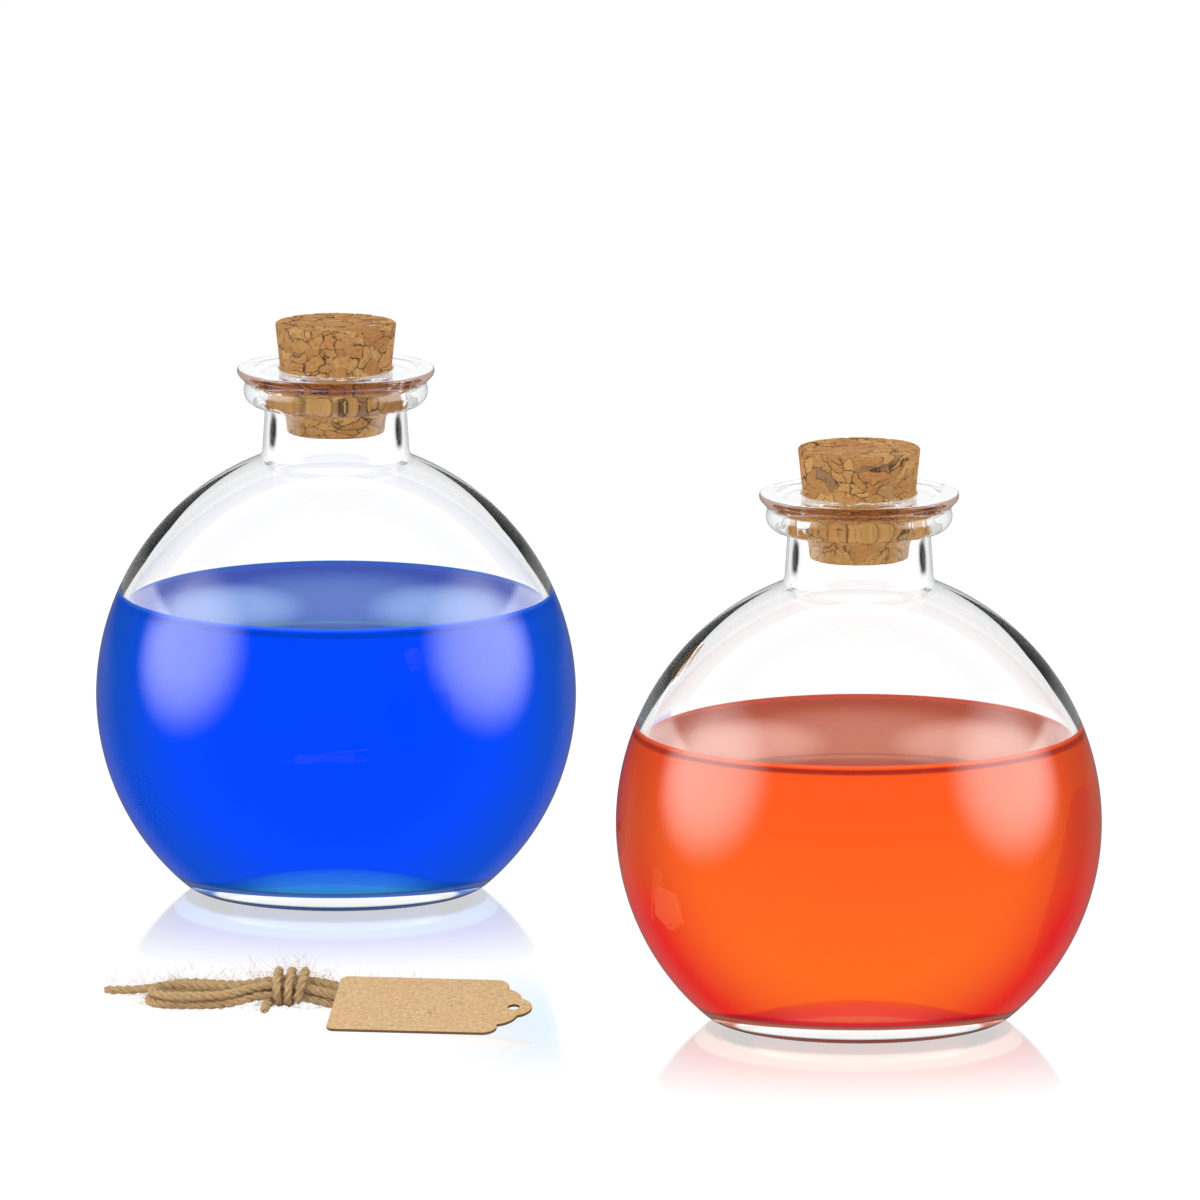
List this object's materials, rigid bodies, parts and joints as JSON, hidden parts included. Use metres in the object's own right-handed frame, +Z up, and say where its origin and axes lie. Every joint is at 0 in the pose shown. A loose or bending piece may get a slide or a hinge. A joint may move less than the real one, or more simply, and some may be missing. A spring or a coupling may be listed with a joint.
{
  "type": "corked bottle set",
  "caption": "Round clear glass bottles with a lipped neck, tapered cork stopper and coloured liquid, with a tied hank of twine and a scalloped card tag for the message.",
  "frame": {"origin": "on the table, midway between the axes of the bottles", "axes": "+Z up; +Y from the front of the set, where the red bottle stands on the right, to the blue bottle at the back on the left; +X to the right"},
  "size_m": [0.177, 0.214, 0.1016],
  "materials": {
    "clear_glass": "clear, smooth blown glass",
    "blue_liquid": "clear blue liquid",
    "red_liquid": "clear red liquid",
    "cork": "pressed cork granules",
    "twine": "twisted jute",
    "kraft_card": "unbleached kraft card"
  },
  "bodies": {
    "set": {"blue_bottle": "clear_glass", "blue_liquid": "blue_liquid", "red_bottle": "clear_glass", "red_liquid": "red_liquid", "twine_hank": "twine", "twine_tie": "twine", "paper_tag": "kraft_card"},
    "blue_stopper": {"blue_cork": "cork"},
    "red_stopper": {"red_cork": "cork"}
  },
  "joints": [
    {"name": "blue_cork_pull", "type": "slide", "parent": "set", "child": "blue_stopper", "axis": [0, 0, 1], "range_m": [0, 0.025]},
    {"name": "red_cork_pull", "type": "slide", "parent": "set", "child": "red_stopper", "axis": [0, 0, 1], "range_m": [0, 0.025]}
  ]
}
